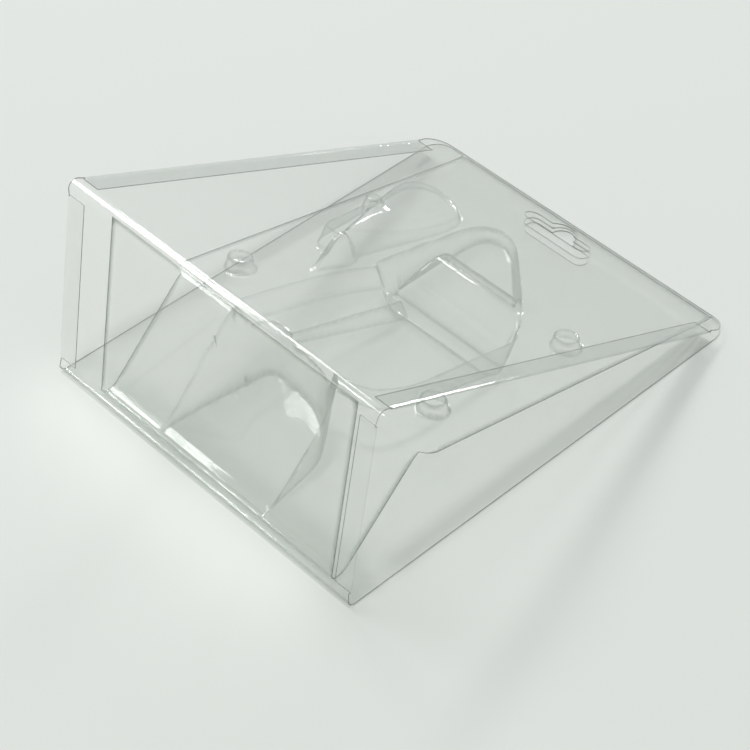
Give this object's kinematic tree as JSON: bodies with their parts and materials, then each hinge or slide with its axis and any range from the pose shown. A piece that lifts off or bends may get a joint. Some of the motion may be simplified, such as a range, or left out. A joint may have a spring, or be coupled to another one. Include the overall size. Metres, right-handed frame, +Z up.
{
  "type": "blister pack",
  "caption": "Empty clear wedge-shaped hanging pack: a folded film sleeve with open ends around a thermoformed tray, with a hang slot through all its layers.",
  "frame": {"origin": "middle of the sleeve's footprint, on the surface that the pack lies on", "axes": "+Z up with the pack lying on its back panel, +Y from the base wall to the hang edge, +X to the right seen from the base wall"},
  "size_m": [0.156, 0.197, 0.084],
  "materials": {
    "sleeve_film": "clear gloss",
    "tray_film": "clear gloss"
  },
  "bodies": {
    "root": {"sleeve": "sleeve_film", "tray": "tray_film"}
  },
  "joints": []
}
